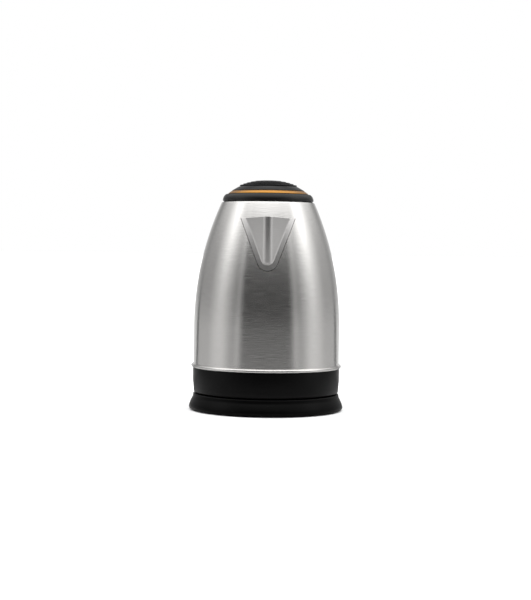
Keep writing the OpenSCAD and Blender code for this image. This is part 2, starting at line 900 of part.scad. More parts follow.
// Children drawn with +Z along the handle's outward normal, z = 0 on its outer surface
module at_lens() {
    p = handle_point(lens_at) + handle_out(lens_at) * handle_h(lens_at);
    tilt = atan2(handle_out(lens_at)[1], handle_out(lens_at)[0]);
    translate([0, p[0], p[1]]) rotate([tilt - 90, 0, 0]) children();
}

module handle_outer() {
    hole = 0.4;
    color(BLACK)
        difference() {
            handle_shell(1);
            box([-button_half - hole, button_half + hole],
                [button_y[0] - hole, button_y[1] + hole], [212, 230]);
            at_lens() disc(lens_r + 0.05, -8, 4);
        }
}

module handle_inner() {
    color(BLACK)
        difference() {
            union() {
                handle_shell(-1);
                both_sides() translate([upper_screw[0], upper_screw[1], 0]) disc(3.2, 200.7, tab_z[0]);
            }
            both_sides() {
                translate([upper_screw[0], upper_screw[1], 0]) {
                    disc(1.6, 190, 206);
                    disc(2.8, 190, upper_screw[2]);
                }
                rod_y(1.45, lower_screw[0], 70, 82, lower_screw[2]);
            }
            rod_y(steam_tube_r + 0.2, 0, 70, 84, steam_outlet_z);
            box([-steam_tube_r - 0.2, steam_tube_r + 0.2], [70, 84], [steam_outlet_z, steam_outlet_z + 9]);
        }
}

module handle_bracket() {
    plate_y = [block_y + 0.2, bracket_screw[1]];
    color(STEEL)
        difference() {
            union() {
                box([-8.8, 8.8], plate_y, [tab_z[0], 209.2]);
                both_sides() box([4.4, 8.8], [plate_y[0], 74], tab_z);
            }
            rod_y(steam_tube_r + 0.4, 0, 50, 70, steam_z);
            both_sides() {
                translate([upper_screw[0], upper_screw[1], 0]) disc(1.7, 200, 206);
                rod_y(1.6, bracket_screw[0], 50, 70, bracket_screw[2]);
            }
        }
}

module bracket_screws() {
    color(STEEL)
        both_sides() translate(bracket_screw) rotate([90, 0, 0]) screw(1.4, 8, 2.2, 1.4);
}

module handle_screws() {
    color(STEEL)
        both_sides() {
            translate(lower_screw) rotate([-90, 0, 0]) screw(1.4, 8, 2.6, 1.6);
            translate(upper_screw) screw(1.4, 8, 2.6, 1.6);
        }
}

// Route of the steam tube in the Y-Z plane: into the handle, down inside it, and forward into the foot
function steam_route() =
    let (
        top = [50, steam_z],
        shift = function (s) -(handle_point(0)[1] - steam_z) + 2.2 * min(s, 1),
        tail_s = 2.5,
        tail = handle_point(tail_s) + handle_out(tail_s) * shift(tail_s),
        low = [85, steam_outlet_z + 10],
        down = [tail, tail + handle_dir(tail_s) * 3, low + [0.4, 5], low],
        bend = [low, low - [0, 6], [82, steam_outlet_z], [76.5, steam_outlet_z]]
    )
    concat(
        [top],
        [for (i = [0:25]) let (s = tail_s * i / 26) handle_point(s) + handle_out(s) * shift(s)],
        [for (i = [0:3]) bezier(down, i / 4)],
        [for (i = [0:7]) bezier(bend, i / 7)],
        [[66, steam_outlet_z]]
    );

module steam_tube() {
    sides = 12;
    route = steam_route();
    rings = len(route);
    n = 2 * sides;
    radii = [steam_tube_r, steam_tube_r - 0.9];
    points = [
        for (i = [0:rings - 1])
            let (
                d = unit(route[min(i + 1, rings - 1)] - route[max(i - 1, 0)]),
                out = [-d[1], d[0]]
            )
            each [for (r = radii, j = [0:sides - 1])
                let (a = 360 * j / sides)
                [-r * cos(a), route[i][0] + out[0] * r * sin(a), route[i][1] + out[1] * r * sin(a)]]
    ];
    last = (rings - 1) * n;
    faces = [
        for (i = [0:rings - 2], j = [0:sides - 1])
            let (a = i * n + j, b = i * n + (j + 1) % sides)
            each [
                [a, a + n, b], [a + n, b + n, b],
                [a + sides, b + sides, a + n + sides], [a + n + sides, b + sides, b + n + sides]
            ]
    ];
    ends = [
        for (j = [0:sides - 1])
            let (k = (j + 1) % sides)
            each [
                [j, k, j + sides], [k, k + sides, j + sides],
                [last + j, last + j + sides, last + k], [last + k, last + j + sides, last + k + sides]
            ]
    ];
    color(IVORY) polyhedron(points, concat(faces, ends));
}

module pilot_lens() {
    color(AMBER)
        at_lens() difference() {
            union() {
                disc(lens_r, -5, 0.5);
                disc(lens_r + 0.9, -handle_wall - 2, -handle_wall - 0.9);
            }
            disc(2.2, -6, -1.2);
        }
}

module pilot_lamp() {
    color([0.95, 0.85, 0.7]) at_lens() disc(2.1, -8, -1.6);
}

module switch_lever() {
    z = [lever_z - lever_t / 2, lever_z + lever_t / 2];
    color(BLACK)
        difference() {
            union() {
                box([-lever_half + 2, lever_half - 2], [52, 84], z);
                translate([0, (78 + lever_tip_y) / 2, z[0]])
                    linear_extrude(lever_t) rounded_rect(2 * lever_half, lever_tip_y - 78, 4);
                rod_x(3.3, -lever_half, lever_half, lever_y, lever_z);
            }
            rod_x(lever_pin_r + 0.07, -20, 20, lever_y, lever_z);
        }
}

base_cover();
base_bottom();
base_socket();
earth_contact();
live_contact();
neutral_contact();
foot_ring();
base_screws();
cord_gland();
connector_body();
connector_pin();
live_ring();
neutral_ring();
steel_jug();
spout();
jug_floor();
heat_spreader();
heating_element();
controller();
dry_boil_cutouts();
steam_switch();
lower_housing();
underside_cover();
housing_screws();
collar();
collar_seal();
hinge_pin();
lid_spring();
latch_carrier();
button_spring();
handle_outer();
handle_inner();
handle_bracket();
bracket_screws();
handle_screws();
steam_tube();
steam_grommet();
pilot_lamp();
pilot_lens();
lever_shaft();
lid_base();
lid_cap();
lid_band();
lid_plate();
lid_seal();
lid_screws();
lid_button();
lid_latch();
switch_lever();
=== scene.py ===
"""Looks for a cordless electric kettle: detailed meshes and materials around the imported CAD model.

Everything is in metres in the CAD model's frame: +Z up, the spout towards -Y, the origin on the table.
Profiles are written in millimetres and scaled by MM.
"""

import math

import bmesh
import bpy
from mathutils import Matrix, Vector


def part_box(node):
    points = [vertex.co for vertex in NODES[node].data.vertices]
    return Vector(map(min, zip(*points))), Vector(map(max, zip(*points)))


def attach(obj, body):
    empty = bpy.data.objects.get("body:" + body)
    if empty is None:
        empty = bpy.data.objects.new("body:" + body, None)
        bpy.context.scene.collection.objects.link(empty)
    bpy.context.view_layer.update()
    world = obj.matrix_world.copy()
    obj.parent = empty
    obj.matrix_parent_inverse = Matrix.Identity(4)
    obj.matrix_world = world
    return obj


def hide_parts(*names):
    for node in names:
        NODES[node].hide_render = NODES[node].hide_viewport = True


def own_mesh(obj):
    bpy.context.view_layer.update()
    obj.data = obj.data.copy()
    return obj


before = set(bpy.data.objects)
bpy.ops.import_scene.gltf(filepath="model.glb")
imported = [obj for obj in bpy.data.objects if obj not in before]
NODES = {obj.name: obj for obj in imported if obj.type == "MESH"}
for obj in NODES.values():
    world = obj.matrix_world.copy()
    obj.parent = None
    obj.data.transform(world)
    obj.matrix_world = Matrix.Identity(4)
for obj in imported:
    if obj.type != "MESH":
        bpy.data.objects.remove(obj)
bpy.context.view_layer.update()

MM = 0.001
ROUND = 192

# Jug: straight wall, then one large arc up to the rim
JUG_R = 74.7
CURVE_START = 85.0
CURVE_R = 311.0
STEEL_T = 0.8
MOUTH_R = 42.0
JUG_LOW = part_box("steel_jug")[0][2] / MM
JUG_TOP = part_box("steel_jug")[1][2] / MM
BEAD_R = 1.8
BEAD_OUT = 0.6

# Beak
BEAK_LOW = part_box("spout")[0][2] / MM
LIP_Z = 195.6
BEAK_REACH = 81.0
BEAK_SLOPE = 1.4
BEAK_EDGE_R = 6.0
BEAK_BOW = 0.003
BEAK_T = 0.9
V_LEAN = math.radians(20.7)
TIP_R, TIP_Z = 7.2, 156.9
FLANGE_TIP_R, FLANGE_TIP_Z = 10.5, 154.2
SEAM_R = 0.4

# Lid
CAP_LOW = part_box("lid_cap")[0][2] / MM
LID_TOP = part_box("lid_cap")[1][2] / MM
BAND_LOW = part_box("lid_band")[0][2] / MM


# ------------------------------------------------------------------ mesh helpers

def make_object(name, mesh):
    obj = bpy.data.objects.new(name, mesh)
    bpy.context.scene.collection.objects.link(obj)
    return obj


def from_bmesh(name, bm, sharp=40):
    bmesh.ops.recalc_face_normals(bm, faces=bm.faces)
    mesh = bpy.data.meshes.new(name)
    bm.to_mesh(mesh)
    bm.free()
    smooth(mesh, sharp)
    return make_object(name, mesh)


def smooth(mesh, sharp=40):
    mesh.polygons.foreach_set("use_smooth", [True] * len(mesh.polygons))
    mesh.set_sharp_from_angle(angle=math.radians(sharp))


def bevel(obj, width, segments=2, angle=40):
    mod = obj.modifiers.new("edges", "BEVEL")
    mod.width = width
    mod.segments = segments
    mod.limit_method = "ANGLE"
    mod.angle_limit = math.radians(angle)
    mod.harden_normals = True


def apply_modifiers(obj):
    """Replaces the object's mesh by what its modifiers make of it."""
    graph = bpy.context.evaluated_depsgraph_get()
    mesh = bpy.data.meshes.new_from_object(obj.evaluated_get(graph))
    obj.modifiers.clear()
    old, obj.data = obj.data, mesh
    bpy.data.meshes.remove(old)


def cut(obj, cutters):
    """Takes the cutters out of the object, and deletes them."""
    for cutter in cutters:
        mod = obj.modifiers.new("cut", "BOOLEAN")
        mod.operation = "DIFFERENCE"
        mod.solver = "EXACT"
        mod.object = cutter
    apply_modifiers(obj)
    for cutter in cutters:
        bpy.data.objects.remove(cutter)


def fillet(points, steps=5):
    """Rounds the corners of a closed outline: each point is (x, y) or (x, y, radius)."""
    out = []
    n = len(points)
    for i, point in enumerate(points):
        here = Vector(point[:2])
        radius = point[2] if len(point) > 2 else 0
        if radius == 0:
            out.append(tuple(here))
            continue
        before = (Vector(points[i - 1][:2]) - here)
        after = (Vector(points[(i + 1) % n][:2]) - here)
        half = before.angle(after) / 2
        reach = radius / math.tan(half)
        reach = min(reach, before.length * 0.49, after.length * 0.49)
        radius = reach * math.tan(half)
        inward = (before.normalized() + after.normalized()).normalized()
        centre = here + inward * radius / math.sin(half)
        start = here + before.normalized() * reach - centre
        end = here + after.normalized() * reach - centre
        turn = start.angle_signed(end)
        for k in range(steps + 1):
            spoke = start.copy()
            spoke.rotate(Matrix.Rotation(-turn * k / steps, 2))
            out.append(tuple(centre + spoke))
    return out


def lathe(name, outline, segments=ROUND, sharp=40):
    """Turns a closed outline of (radius, height) in millimetres about the Z axis."""
    bm = bmesh.new()
    rings = []
    for r, z in outline:
        if r < 1e-6:
            rings.append([bm.verts.new((0, 0, z * MM))])
            continue
        rings.append([
            bm.verts.new((
                r * MM * math.sin(2 * math.pi * k / segments),
                -r * MM * math.cos(2 * math.pi * k / segments),
                z * MM,
            ))
            for k in range(segments)
        ])
    for a, b in zip(rings, rings[1:] + rings[:1]):
        for k in range(segments):
            nxt = (k + 1) % segments
            corners = [a[k % len(a)], a[nxt % len(a)], b[nxt % len(b)], b[k % len(b)]]
            unique = list(dict.fromkeys(corners))
            if len(unique) > 2:
                bm.faces.new(unique)
    return from_bmesh(name, bm, sharp)


def rod(name, radius, start, end, segments=32):
    """A plain cylinder between two points, in millimetres."""
    start, end = Vector(start) * MM, Vector(end) * MM
    bm = bmesh.new()
    bmesh.ops.create_cone(
        bm, cap_ends=True, segments=segments, radius1=radius * MM, radius2=radius * MM,
        depth=(end - start).length,
    )
    turn = Vector((0, 0, 1)).rotation_difference(end - start).to_matrix().to_4x4()
    bm.transform(Matrix.Translation((start + end) / 2) @ turn)
    return from_bmesh(name, bm)


def tube(name, stations, radius, sides):
    """A closed tube: each station is (centre, across, out), all in metres."""
    bm = bmesh.new()
    turns = [2 * math.pi * k / sides for k in range(sides)]
    rings = [
        [bm.verts.new(here + radius * (math.cos(t) * across + math.sin(t) * out)) for t in turns]
        for here, across, out in stations
    ]
    for a, b in zip(rings, rings[1:]):
        for k in range(sides):
            bm.faces.new([a[k], a[(k + 1) % sides], b[(k + 1) % sides], b[k]])
    bm.faces.new(rings[0])
    bm.faces.new(rings[-1])
    return from_bmesh(name, bm, 50)


def rounded_slab(name, low, high, corner, steps=6):
    """A box in millimetres whose upright corners are round."""
    x0, y0, z0 = low
    x1, y1, z1 = high
    outline = fillet([(x0, y0, corner), (x1, y0, corner), (x1, y1, corner), (x0, y1, corner)], steps)
    bm = bmesh.new()
    bottom = [bm.verts.new((x * MM, y * MM, z0 * MM)) for x, y in outline]
    top = [bm.verts.new((x * MM, y * MM, z1 * MM)) for x, y in outline]
    bm.faces.new(bottom)
    bm.faces.new(top)
    n = len(outline)
    for k in range(n):
        bm.faces.new([bottom[k], bottom[(k + 1) % n], top[(k + 1) % n], top[k]])
    return from_bmesh(name, bm)


# ------------------------------------------------------------------ materials

class Look:
    """A material whose nodes are added one at a time."""

    def __init__(self, name, color, rough, metallic=0.0, **constants):
        self.mat = bpy.data.materials.new(name)
        self.mat.use_nodes = True
        self.tree = self.mat.node_tree
        self.bsdf = self.tree.nodes["Principled BSDF"]
        self.bsdf.inputs["Base Color"].default_value = (*color, 1)
        self.bsdf.inputs["Roughness"].default_value = rough
        self.bsdf.inputs["Metallic"].default_value = metallic
        for key, value in constants.items():
            self.bsdf.inputs[key.replace("_", " ")].default_value = value
        self.color = color
        self.rough = rough
        self.coords = self.node("ShaderNodeTexCoord").outputs["Object"]

    def node(self, kind, **settings):
        made = self.tree.nodes.new(kind)
        for key, value in settings.items():
            setattr(made, key, value)
        return made

    def link(self, a, b):
        self.tree.links.new(a, b)

    def math(self, operation, *values):
        made = self.node("ShaderNodeMath", operation=operation)
        for socket, value in zip(made.inputs, values):
            if hasattr(value, "links"):
                self.link(value, socket)
            else:
                socket.default_value = value
        return made.outputs[0]

    def stretched(self, scale):
        """Object coordinates, scaled along each axis."""
        mapping = self.node("ShaderNodeMapping")
        mapping.inputs["Scale"].default_value = scale
        self.link(self.coords, mapping.inputs["Vector"])
        return mapping.outputs[0]

    def around(self, along, up, radius=0.07):
        """Coordinates wrapped round the Z axis, with the join at the back."""
        parts = self.node("ShaderNodeSeparateXYZ")
        self.link(self.coords, parts.inputs[0])
        front = self.math("MULTIPLY", parts.outputs["Y"], -1)
        angle = self.math("ARCTAN2", parts.outputs["X"], front)
        joined = self.node("ShaderNodeCombineXYZ")
        self.link(self.math("MULTIPLY", angle, along * radius), joined.inputs["X"])
        self.link(self.math("MULTIPLY", parts.outputs["Z"], up), joined.inputs["Z"])
        return joined.outputs[0]

    def noise(self, vector, detail=3.0):
        made = self.node("ShaderNodeTexNoise")
        made.inputs["Scale"].default_value = 1.0
        made.inputs["Detail"].default_value = detail
        made.inputs["Roughness"].default_value = 0.5
        self.link(vector, made.inputs["Vector"])
        return made.outputs["Fac"]

    def spread(self, factor, low, high):
        """Maps a noise of about 0.3 to 0.7 to low to high."""
        made = self.node("ShaderNodeMapRange")
        made.inputs["From Min"].default_value = 0.3
        made.inputs["From Max"].default_value = 0.7
        made.inputs["To Min"].default_value = low
        made.inputs["To Max"].default_value = high
        self.link(factor, made.inputs["Value"])
        return made.outputs["Result"]

    def vary_roughness(self, factor, amount):
        varied = self.spread(factor, self.rough - amount, self.rough + amount)
        self.link(varied, self.bsdf.inputs["Roughness"])

    def vary_color(self, factor, darker, lighter):
        ramp = self.node("ShaderNodeMix", data_type="RGBA")
        ramp.inputs[6].default_value = (*[c * darker for c in self.color], 1)
        ramp.inputs[7].default_value = (*[c * lighter for c in self.color], 1)
        self.link(self.spread(factor, 0, 1), ramp.inputs[0])
        self.link(ramp.outputs[2], self.bsdf.inputs["Base Color"])

    def bump(self, height, distance):
        made = self.node("ShaderNodeBump")
        made.inputs["Distance"].default_value = distance
        made.inputs["Strength"].default_value = 1.0
        self.link(height, made.inputs["Height"])
        self.link(made.outputs[0], self.bsdf.inputs["Normal"])


def brushed(name, color, rough, anisotropic, depth):
    """Steel brushed round the Z axis."""
    look = Look(name, color, rough, 1.0, Anisotropic=anisotropic, Anisotropic_Rotation=0.25)
    tangent = look.node("ShaderNodeTangent", direction_type="RADIAL", axis="Z")
    look.link(tangent.outputs[0], look.bsdf.inputs["Tangent"])
    fine = look.noise(look.around(40, 5200), detail=2)
    coarse = look.noise(look.around(70, 1300), detail=3)
    both = look.math("ADD", look.math("MULTIPLY", fine, 0.15), look.math("MULTIPLY", coarse, 0.85))
    look.vary_roughness(coarse, 0.02)
    look.vary_color(both, 0.96, 1.03)
    look.bump(both, depth)
    return look.mat


def plain_metal(name, color, rough):
    look = Look(name, color, rough, 1.0)
    grain = look.noise(look.stretched((900, 900, 900)), detail=4)
    look.vary_roughness(look.noise(look.stretched((60, 60, 60))), 0.08)
    look.bump(grain, 0.00001)
    return look.mat


def moulded(name, color, rough, grain_size, grain_depth, **constants):
    """Moulded plastic: faint flow marks in the gloss, and a fine grain."""
    look = Look(name, color, rough, 0.0, **constants)
    look.vary_roughness(look.noise(look.stretched((35, 35, 35)), detail=4), 0.05)
    look.vary_color(look.noise(look.stretched((18, 18, 18))), 0.88, 1.12)
    look.bump(look.noise(look.stretched((1 / grain_size,) * 3), detail=3), grain_depth)
    return look.mat


STEEL = brushed("brushed_jug", (0.64, 0.63, 0.615), 0.21, 0.90, 0.00009)
BEAK_STEEL = brushed("brushed_beak", (0.62, 0.61, 0.60), 0.31, 0.4, 0.0000012)
SEAM = plain_metal("seam_shadow", (0.03, 0.028, 0.027), 0.5)
INNER_STEEL = plain_metal("rolled_steel", (0.62, 0.62, 0.61), 0.30)
ZINC = plain_metal("zinc", (0.68, 0.68, 0.68), 0.25)
WIRE = plain_metal("spring_wire", (0.58, 0.58, 0.58), 0.22)
ALUMINIUM = plain_metal("mill_aluminium", (0.78, 0.78, 0.78), 0.42)
HEATED = plain_metal("heated_sheath", (0.34, 0.33, 0.33), 0.55)
BRASS = plain_metal("brass", (0.78, 0.58, 0.25), 0.28)
LID_BLACK = moulded(
    "lid_black", (0.004, 0.004, 0.0045), 0.22, 0.0006, 0.000003, Specular_IOR_Level=0.12)
COLLAR_BLACK = moulded(
    "collar_black", (0.005, 0.005, 0.005), 0.33, 0.0006, 0.000004, Specular_IOR_Level=0.28)
BASE_BLACK = moulded(
    "base_black", (0.002, 0.002, 0.002), 0.34, 0.0006, 0.000004, Specular_IOR_Level=0.10)
COVER_BLACK = moulded(
    "cover_black", (0.002, 0.002, 0.002), 0.32, 0.0006, 0.000004, Specular_IOR_Level=0.05)
HANDLE_BLACK = moulded(
    "handle_black", (0.005, 0.005, 0.0055), 0.30, 0.0008, 0.000004, Specular_IOR_Level=0.3)
GRIP_BLACK = moulded(
    "grip_black", (0.012, 0.012, 0.0125), 0.50, 0.0005, 0.00002, Specular_IOR_Level=0.4)
PHENOLIC = moulded("phenolic", (0.025, 0.024, 0.024), 0.5, 0.0006, 0.00001)
RUBBER = moulded("rubber", (0.030, 0.030, 0.031), 0.7, 0.0005, 0.00002)
IVORY = moulded("ivory_moulding", (0.66, 0.62, 0.52), 0.45, 0.0008, 0.00001)
LENS = moulded("amber_lens", (0.80, 0.30, 0.04), 0.12, 0.002, 0.000002, Transmission_Weight=0.5)
LEVER = moulded("amber_lever", (0.78, 0.33, 0.07), 0.2, 0.002, 0.000002, Transmission_Weight=0.2)
LAMP = moulded("neon_lamp", (0.95, 0.80, 0.62), 0.08, 0.002, 0.000002, Transmission_Weight=0.8)


def amber_metal():
    look = Look("amber_metal", (0.40, 0.185, 0.030), 0.30, 0.92, Coat_Weight=0.1, Coat_Roughness=0.12)
    look.vary_roughness(look.noise(look.around(12, 2600, 0.038), detail=2), 0.04)
    look.vary_color(look.noise(look.stretched((500, 500, 500)), detail=4), 0.92, 1.06)
    look.bump(look.noise(look.around(12, 2600, 0.038), detail=2), 0.000006)
    return look.mat


AMBER = amber_metal()

CAD_LOOKS = {
    "base_bottom": BASE_BLACK, "base_socket": PHENOLIC, "earth_contact": BRASS, "live_contact": BRASS,
    "neutral_contact": BRASS, "foot_ring": RUBBER, "base_screws": ZINC, "cord_gland": RUBBER,
    "connector_body": IVORY, "connector_pin": BRASS, "live_ring": BRASS, "neutral_ring": BRASS,
    "jug_floor": INNER_STEEL, "heat_spreader": ALUMINIUM, "heating_element": HEATED,
    "controller": PHENOLIC, "dry_boil_cutouts": INNER_STEEL, "steam_switch": BRASS,
    "underside_cover": BASE_BLACK, "housing_screws": ZINC, "collar_seal": RUBBER, "hinge_pin": ZINC,
    "lid_spring": WIRE, "latch_carrier": PHENOLIC, "button_spring": WIRE, "handle_bracket": INNER_STEEL,
    "bracket_screws": ZINC, "handle_screws": ZINC, "steam_tube": IVORY, "steam_grommet": RUBBER,
    "pilot_lamp": LAMP, "lever_shaft": ZINC, "lid_base": LID_BLACK, "lid_plate": INNER_STEEL,
    "lid_seal": RUBBER, "lid_screws": ZINC, "lid_latch": IVORY,
    "collar": COLLAR_BLACK, "lower_housing": BASE_BLACK, "base_cover": COVER_BLACK,
    "pilot_lens": LENS, "lid_button": HANDLE_BLACK, "switch_lever": LEVER,
    "handle_outer": HANDLE_BLACK, "handle_inner": GRIP_BLACK, "lid_cap": LID_BLACK, "lid_band": AMBER,
    "spout": BEAK_STEEL, "steel_jug": STEEL,
}


def dress(obj, mat):
    obj.data.materials.clear()
    obj.data.materials.append(mat)


def stands_for(obj, node, body, look=None):
    """The piece takes a CAD node's place, body and material slot."""
    dress(obj, look or CAD_LOOKS[node])
    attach(obj, body)
    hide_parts(node)
    return obj


# ------------------------------------------------------------------ jug

def jug_r(z, inset=0.0):
    if z < CURVE_START:
        return JUG_R - inset
    return JUG_R - CURVE_R + math.sqrt((CURVE_R - inset) ** 2 - (z - CURVE_START) ** 2)


def jug_outline():
    bead_r, bead_z = JUG_R + BEAD_OUT, JUG_LOW + BEAD_R
    turns = [math.radians(a) for a in range(0, 176, 11)]
    bead = [(bead_r + BEAD_R * math.sin(t), bead_z - BEAD_R * math.cos(t)) for t in turns]
    low_wall = [(JUG_R, bead_z + BEAD_R + 0.3 + 6 * k) for k in range(6)]
    steps = 44
    top = JUG_TOP - 3
    curve_z = [CURVE_START + (top - CURVE_START) * k / steps for k in range(steps + 1)]
    wall = [(jug_r(z), z) for z in curve_z]
    shoulder = fillet([wall[-1], (jug_r(JUG_TOP), JUG_TOP, 2.4), (MOUTH_R, JUG_TOP)], 8)[1:-1]
    rim = [(MOUTH_R, JUG_TOP), (MOUTH_R, JUG_TOP - STEEL_T)]
    inner_top = JUG_TOP - STEEL_T
    inner_z = [inner_top - (inner_top - JUG_LOW) * k / 30 for k in range(31)]
    inner = [(jug_r(z, STEEL_T), z) for z in inner_z]
    return bead + low_wall + wall + shoulder + rim + inner


def strainer_cutters():
    rows, pitch, radius = 5, 6.5, 2.0
    cutters = []
    for row in range(1, rows + 1):
        z = LIP_Z - 4 - (rows - row) * pitch
        for k in range(row):
            x = (k - (row - 1) / 2) * pitch
            cutters.append(rod("cutter", radius, (x, -78, z), (x, -40, z), 24))
    return cutters


def build_jug():
    jug = lathe("jug_wall", jug_outline(), 256, 50)
    cut(jug, strainer_cutters() + [rod("cutter", 5, (0, 40, 205), (0, 60, 205), 48)])
    smooth(jug.data, 50)
    stands_for(jug, "steel_jug", "kettle")


# ------------------------------------------------------------------ beak

def smooth_max(a, b, k):
    return max(a, b) + max(k - abs(a - b), 0) ** 2 / (4 * k)


def smooth_min(a, b, k):
    return -smooth_max(-a, -b, k)


def jug_face(x, z):
    return math.sqrt(jug_r(z) ** 2 - x * x)


def beak_face(x, z):
    half_angle = math.atan(1 / BEAK_SLOPE)
    bow = BEAK_BOW * (LIP_Z - z) ** 2
    if abs(x) < BEAK_EDGE_R * math.cos(half_angle):
        centre = BEAK_REACH - BEAK_EDGE_R / math.sin(half_angle)
        return centre + math.sqrt(BEAK_EDGE_R ** 2 - x * x) - bow
    return BEAK_REACH - BEAK_SLOPE * abs(x) - bow


def tip_depth(x, z):
    """How far a point of the front view lies inside the beak's outline, a V with a round tip."""
    lean_x, lean_z = math.sin(V_LEAN), math.cos(V_LEAN)
    if abs(x) * lean_x + (z - TIP_Z) * lean_z < 0:
        return TIP_R - math.hypot(x, TIP_Z - z)
    return TIP_R - abs(x) * lean_z + (z - TIP_Z) * lean_x


def spout_face(x, z):
    rise = jug_face(x, z) + 2 * (tip_depth(x, z) + 0.5)
    return smooth_max(smooth_min(beak_face(x, z), rise, 2.4), jug_face(x, z) + 0.5, 1.6)


def spout_back(x, z):
    d = 0.2
    s = (spout_face(x + d, z) - spout_face(x - d, z)) / (2 * d)
    return max(spout_face(x, z) - BEAK_T * math.hypot(1, s), jug_face(x, z) - 0.1)


def flange_half(z):
    if z < FLANGE_TIP_Z - FLANGE_TIP_R * math.sin(V_LEAN):
        return math.sqrt(max(FLANGE_TIP_R ** 2 - (FLANGE_TIP_Z - z) ** 2, 4))
    return FLANGE_TIP_R / math.cos(V_LEAN) + math.tan(V_LEAN) * (z - FLANGE_TIP_Z)


def build_beak():
    rows, half = 110, 70
    bm = bmesh.new()
    rings = []
    for i in range(rows):
        level = (i / (rows - 1)) ** 1.15
        width = flange_half(BEAK_LOW + (LIP_Z - BEAK_LOW) * level)
        xs = [width * j / half for j in range(-half, half + 1)]
        spots = []
        for x in xs:
            lip = LIP_Z + 1.1 * (1 - min(abs(x) / 22, 1))
            spots.append((x, BEAK_LOW + (lip - BEAK_LOW) * level))
        front = [bm.verts.new((x * MM, -spout_face(x, z) * MM, z * MM)) for x, z in spots]
        back = [bm.verts.new((x * MM, -spout_back(x, z) * MM, z * MM)) for x, z in reversed(spots)]
        rings.append(front + back)
    n = len(rings[0])
    for a, b in zip(rings, rings[1:]):
        for k in range(n):
            bm.faces.new([a[k], a[(k + 1) % n], b[(k + 1) % n], b[k]])
    for ring in (rings[0], rings[-1]):
        for k in range(n // 2 - 1):
            bm.faces.new([ring[k], ring[k + 1], ring[n - 2 - k], ring[n - 1 - k]])
    beak = from_bmesh("beak", bm, 50)
    bevel(beak, 0.25 * MM, 3, 50)
    stands_for(beak, "spout", "kettle")


def build_seam():
    """The thin dark gap round the flange, as a fine line let into the steel."""
    path = []
    low = FLANGE_TIP_Z - FLANGE_TIP_R
    for k in range(-90, 91):
        z = low + (LIP_Z - low) * (abs(k) / 90) ** 1.6
        half = flange_half(z) if k else 0.0
        x = math.copysign(half + 0.1, k) if k else 0.0
        path.append(Vector((x, -jug_face(x, z) - 0.05, z)) * MM)
    path = [p for i, p in enumerate(path) if i == 0 or (p - path[i - 1]).length > 0.05 * MM]
    stations = []
    for i, here in enumerate(path):
        along = (path[min(i + 1, len(path) - 1)] - path[max(i - 1, 0)]).normalized()
        across = along.cross(Vector((here.x, here.y, 0)).normalized()).normalized()
        stations.append((here, across, across.cross(along).normalized()))
    seam = tube("beak_seam", stations, SEAM_R * MM, 8)
    dress(seam, SEAM)
    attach(seam, "kettle")


# ------------------------------------------------------------------ lid and collar

def dome_outline():
    """A sloped brim and five terraces, each with a round nose behind a narrow groove."""
    low = CAP_LOW
    steps = [
        (34.6, low, 0), (34.6, 224.85, 0), (36.8, 224.25, 0), (37.3, 224.45, 0.2), (30.4, 228.45, 0.3),
        (29.2, 228.6, 0.2), (29.4, 230.2, 0.7), (27.4, 230.5, 0.3), (26.6, 229.7, 0.2),
        (25.7, 229.9, 0.2), (26.0, 231.5, 0.6), (23.9, 231.75, 0.3), (23.1, 231.0, 0.2),
        (22.2, 231.2, 0.2), (22.5, 232.6, 0.5), (19.8, 232.95, 0.3), (19.0, 232.2, 0.2),
        (18.1, 232.4, 0.2), (18.4, 233.6, 0.4), (14.7, 234.1, 0.3), (14.0, 233.4, 0.2),
        (13.2, 233.5, 0.2), (13.4, 234.5, 0.3), (8.0, 234.9, 2.0), (0, LID_TOP, 0),
        (0, 232.4, 0), (10, 232.0, 0), (17, 230.6, 0), (25, 226.9, 0), (32.4, 223.4, 0), (32.4, low, 0),
    ]
    return fillet(steps, 4)


def build_lid():
    stands_for(lathe("lid_dome", dome_outline(), ROUND, 35), "lid_cap", "lid")
    low = BAND_LOW
    band = lathe("lid_ring", fillet([
        (39.1, low), (40.8, low, 0.2), (41.1, low + 0.4, 0.3), (38.6, 223.3, 2.0), (35.5, 224.9, 0.3),
        (34.8, 224.8, 0.2), (34.7, 223.6), (39.1, low + 1.1),
    ], 6), ROUND, 50)
    cut(band, [rounded_slab("cutter", (-8.6, 30, 200), (8.6, 60, low + 1.05), 0.1)])
    smooth(band.data, 50)
    stands_for(band, "lid_band", "lid")


# ------------------------------------------------------------------ button spring

def build_press_spring():
    """A coil spring under the lid button, which on the real kettle shortens as the button goes down;
    here it is built at one length.
    """
    low, high = (Vector(corner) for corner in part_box("button_spring"))
    wire, turns, travel = 0.35 * MM, 5, 3.02 * MM
    centre = (low + high) / 2
    coil = (high.x - low.x) / 2 - wire
    rise = high.z - low.z - 2 * wire
    steps = turns * 32
    slope = rise / (2 * math.pi * coil * turns)
    stations = []
    for k in range(steps + 1):
        a = 2 * math.pi * turns * k / steps
        out = Vector((math.cos(a), math.sin(a), 0))
        along = Vector((-math.sin(a), math.cos(a), slope)).normalized()
        axis_point = Vector((centre.x, centre.y, low.z + wire + rise * k / steps))
        stations.append((axis_point + coil * out, out, out.cross(along)))
    spring = tube("press_spring", stations, wire, 12)
    stands_for(spring, "button_spring", "kettle")
    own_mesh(spring)


# ------------------------------------------------------------------ the rest keeps its CAD shape

